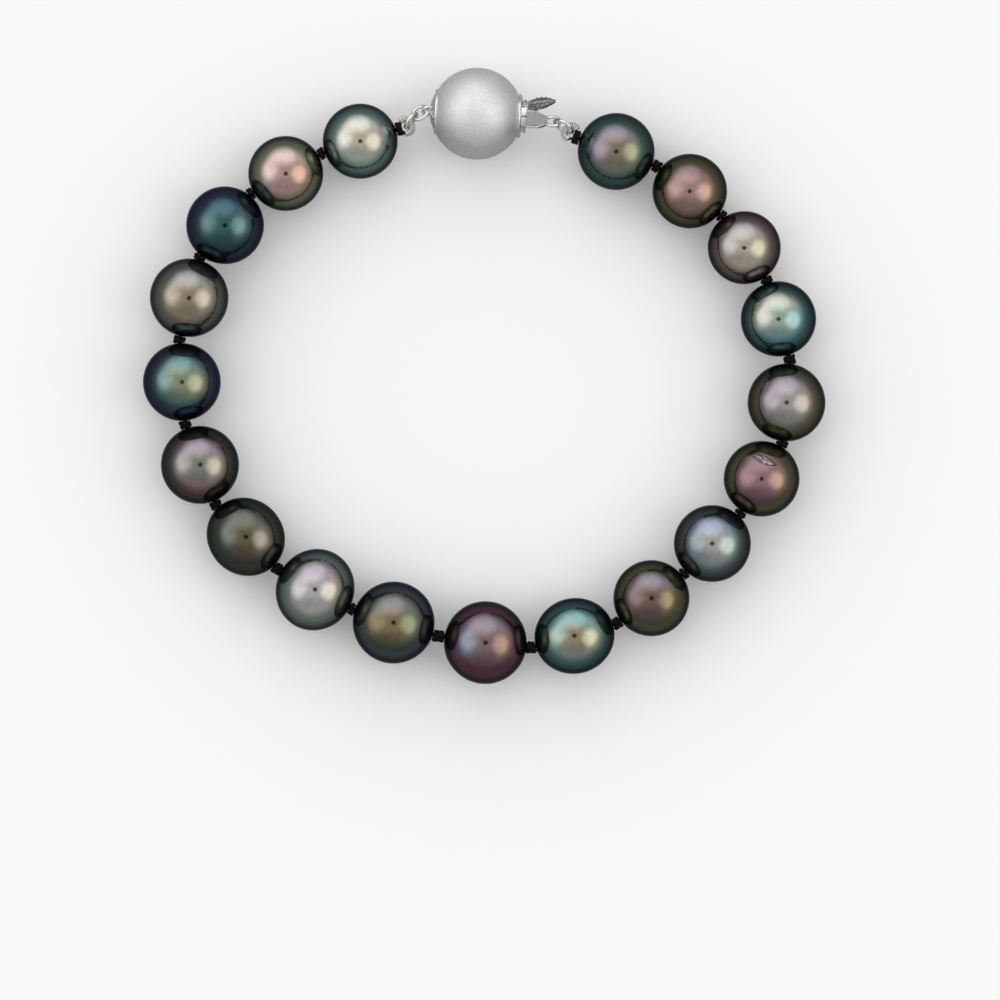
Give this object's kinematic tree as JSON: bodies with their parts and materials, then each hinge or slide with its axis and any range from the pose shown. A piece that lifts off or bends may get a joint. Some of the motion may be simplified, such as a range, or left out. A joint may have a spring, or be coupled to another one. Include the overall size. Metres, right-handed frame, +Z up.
{
  "type": "pearl bracelet",
  "caption": "Bracelet of round dark pearls knotted on black silk, closed by a hollow ball clasp with a spring tongue and leaf-shaped thumb press.",
  "frame": {"origin": "on the surface that the bracelet lies on, under the middle of its outline", "axes": "+Z up from the surface, +Y towards the clasp, +X towards the side of the clasp's tongue"},
  "size_m": [0.0746, 0.0672, 0.01],
  "materials": {
    "pearl_aqua": "smooth nacre, pale green and aqua with a dark rim",
    "pearl_rose": "smooth nacre, rose bronze with a green-grey rim",
    "pearl_peacock": "smooth nacre, deep peacock green with a navy rim",
    "pearl_taupe": "smooth nacre, warm taupe grey",
    "pearl_mauve": "smooth nacre, mauve grey with an olive-brown rim",
    "pearl_olive": "smooth nacre, dark olive with teal and gold",
    "pearl_silver": "smooth nacre, silver with lavender and olive",
    "pearl_aubergine": "smooth nacre, aubergine with lilac and peach",
    "pearl_green": "smooth nacre, grey green with a pinkish middle",
    "black_silk": "twisted black silk with tight lumpy knots",
    "gimp_coil": "bright fine wire coil with a slight warm tint",
    "polished_metal": "polished white metal",
    "frosted_metal": "frosted white metal with polished end caps"
  },
  "bodies": {
    "bracelet": {"pearl_01": "pearl_aqua", "pearl_02": "pearl_rose", "pearl_03": "pearl_peacock", "pearl_04": "pearl_taupe", "pearl_05": "pearl_peacock", "pearl_06": "pearl_mauve", "pearl_07": "pearl_olive", "pearl_08": "pearl_silver", "pearl_09": "pearl_olive", "pearl_10": "pearl_aubergine", "pearl_11": "pearl_green", "pearl_12": "pearl_rose", "pearl_13": "pearl_silver", "pearl_14": "pearl_rose", "pearl_15": "pearl_mauve", "pearl_16": "pearl_aqua", "pearl_17": "pearl_silver", "pearl_18": "pearl_rose", "pearl_19": "pearl_green", "knotted_silk": "black_silk", "gimp_left": "gimp_coil", "gimp_right": "gimp_coil", "clasp_ring": "polished_metal", "strand_ring_left": "polished_metal", "strand_ring_right": "polished_metal", "clasp_ball": "frosted_metal", "clasp_tongue": "polished_metal"},
    "press": {"thumb_press": "polished_metal"}
  },
  "joints": [
    {"name": "press_bend", "type": "hinge", "parent": "bracelet", "child": "press", "pos_m": [-0.00377, 0.02893, 0.00513], "axis": [0.0364, 0.6418, -0.766], "range_deg": [0, 6], "stiffness_Nm_per_rad": 0.3}
  ]
}
